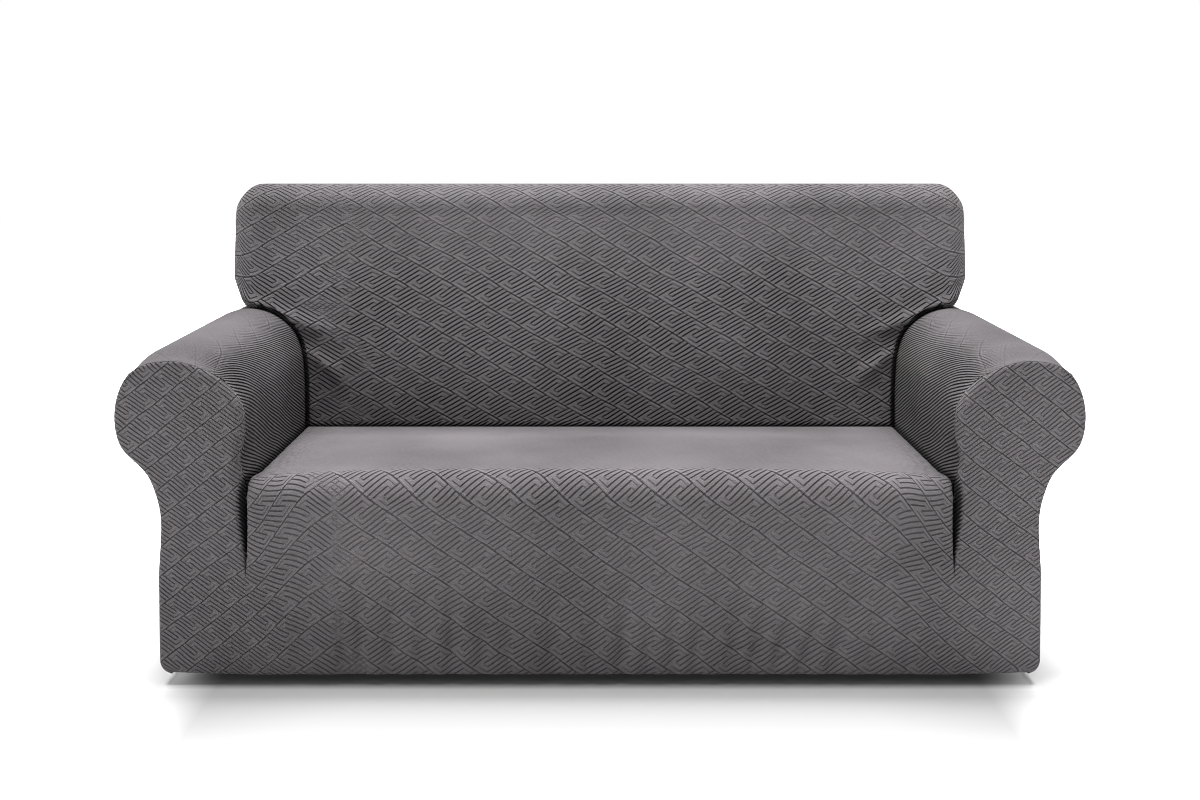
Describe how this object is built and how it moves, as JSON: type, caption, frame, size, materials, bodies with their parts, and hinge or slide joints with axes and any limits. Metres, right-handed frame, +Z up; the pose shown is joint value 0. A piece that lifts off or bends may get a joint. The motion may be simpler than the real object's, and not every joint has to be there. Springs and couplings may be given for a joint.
{
  "type": "sofa slipcover",
  "caption": "Fitted stretch jacquard slipcover for a two-seat sofa with rolled arms, hollow underneath, as it hangs in use.",
  "frame": {"origin": "middle of the floor under the cover", "axes": "+X along the sofa to the right as one looks at its front, +Y from the front to the back, +Z up"},
  "size_m": [1.8518, 0.88, 0.93],
  "materials": {
    "jacquard": "matt stretch polyester jacquard"
  },
  "bodies": {
    "root": {"front_and_seat": "jacquard", "arm_left": "jacquard", "arm_right": "jacquard", "inner_back": "jacquard", "outer_back": "jacquard"}
  },
  "joints": []
}
